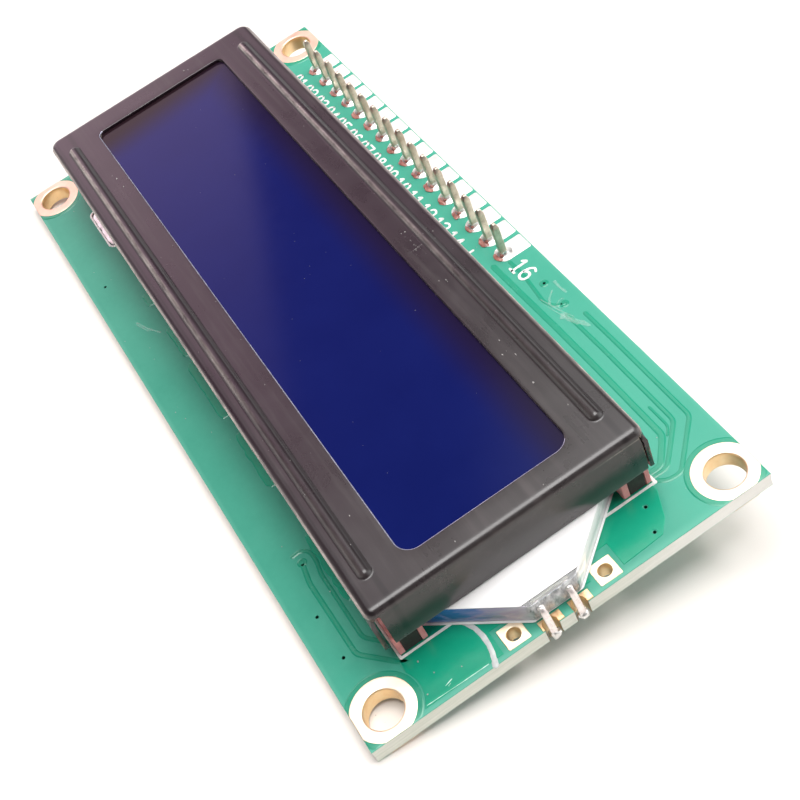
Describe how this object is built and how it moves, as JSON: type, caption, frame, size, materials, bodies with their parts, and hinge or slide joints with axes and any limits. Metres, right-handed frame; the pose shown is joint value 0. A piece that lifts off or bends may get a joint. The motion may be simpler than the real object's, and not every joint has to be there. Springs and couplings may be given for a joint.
{
  "type": "character lcd module",
  "caption": "Blue character display module: green circuit board, folded black steel bezel with a long window, side-lit clear light guide and a row of header pins.",
  "frame": {"origin": "centre of the four mounting holes, on the circuit board's front face", "axes": "+X along the board towards the backlight LED, +Y across it towards the pin header, +Z out of the display"},
  "size_m": [0.0802, 0.036, 0.0148],
  "materials": {
    "board": "green solder mask over glass-epoxy board",
    "bare_ring": "gold-coloured plating",
    "tinned_pad": "tinned copper",
    "header_pin": "pale gold-plated brass",
    "header_plastic": "black moulded strip",
    "solder": "bright solder",
    "bezel_paint": "semi-gloss black paint on folded sheet steel",
    "polariser": "dark blue negative display film, satin",
    "display_glass": "clear",
    "strip_core": "black striped contact rubber",
    "strip_side": "pink silicone sponge",
    "guide": "clear acrylic, polished",
    "film": "white film",
    "led": "clear resin over a chip",
    "lead": "tinned lead",
    "gold_pad": "gold-coloured plating",
    "resin": "black potting resin",
    "chip_black": "dark chip body",
    "chip_tan": "tan chip body"
  },
  "bodies": {
    "root": {"circuit_board": "board", "mounting_hole_plating": "bare_ring", "pin_pads": "tinned_pad", "header_pins": "header_pin", "header_body": "header_plastic", "pin_solder": "solder", "metal_bezel": "bezel_paint", "front_polariser": "polariser", "front_glass": "display_glass", "rear_glass": "display_glass", "rear_polariser": "polariser", "upper_strip_core": "strip_core", "upper_strip_sides": "strip_side", "lower_strip_core": "strip_core", "lower_strip_sides": "strip_side", "light_guide": "guide", "diffuser_film": "film", "reflector_film": "film", "backlight_led": "led", "led_leads": "lead", "led_solder": "solder", "led_edge_pads": "gold_pad", "backlight_pads": "gold_pad", "ground_slot_pad": "tinned_pad", "ground_tab_solder": "solder", "contact_fingers": "gold_pad", "controller_dome": "resin", "driver_dome": "resin", "chip_resistors": "chip_black", "chip_capacitors": "chip_tan", "chip_terminals": "solder"}
  },
  "joints": []
}
